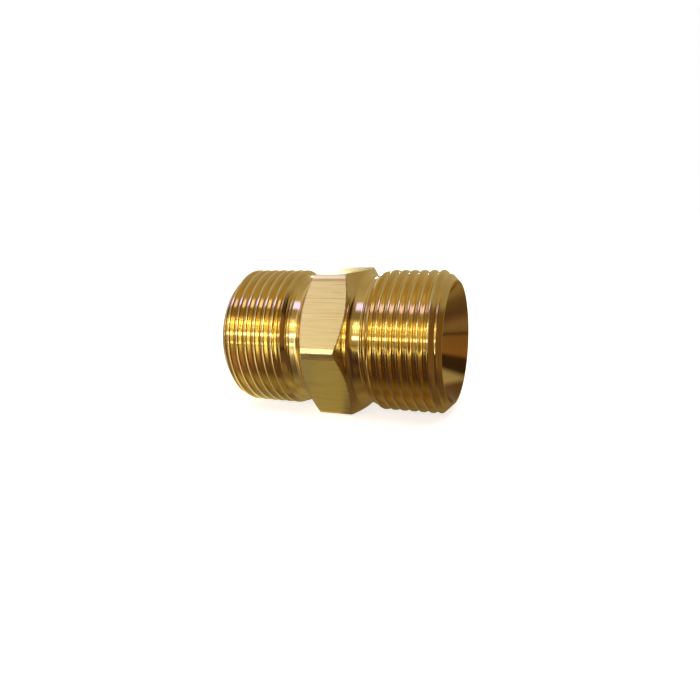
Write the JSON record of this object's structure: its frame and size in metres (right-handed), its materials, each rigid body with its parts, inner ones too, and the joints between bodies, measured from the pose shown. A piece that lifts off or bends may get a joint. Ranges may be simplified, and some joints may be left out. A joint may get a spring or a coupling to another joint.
{
  "type": "hex nipple",
  "caption": "Straight brass hex nipple with a male parallel thread at each end, a hexagon between them and a through waterway with a 60 degree sealing cone in each mouth.",
  "frame": {"origin": "on the nipple's axis, at the middle of its length, which is also the middle of the hexagon", "axes": "+X along the axis of both threads and the bore, +Z square to a hexagon flat, so the nipple rests on a flat; hexagon corners point to +Y and -Y"},
  "size_m": [0.0354, 0.0252, 0.022],
  "materials": {
    "brass": "bright turned threads and necks, brushed drawn hexagon flats"
  },
  "bodies": {
    "root": {"nipple_body": "brass"}
  },
  "joints": []
}
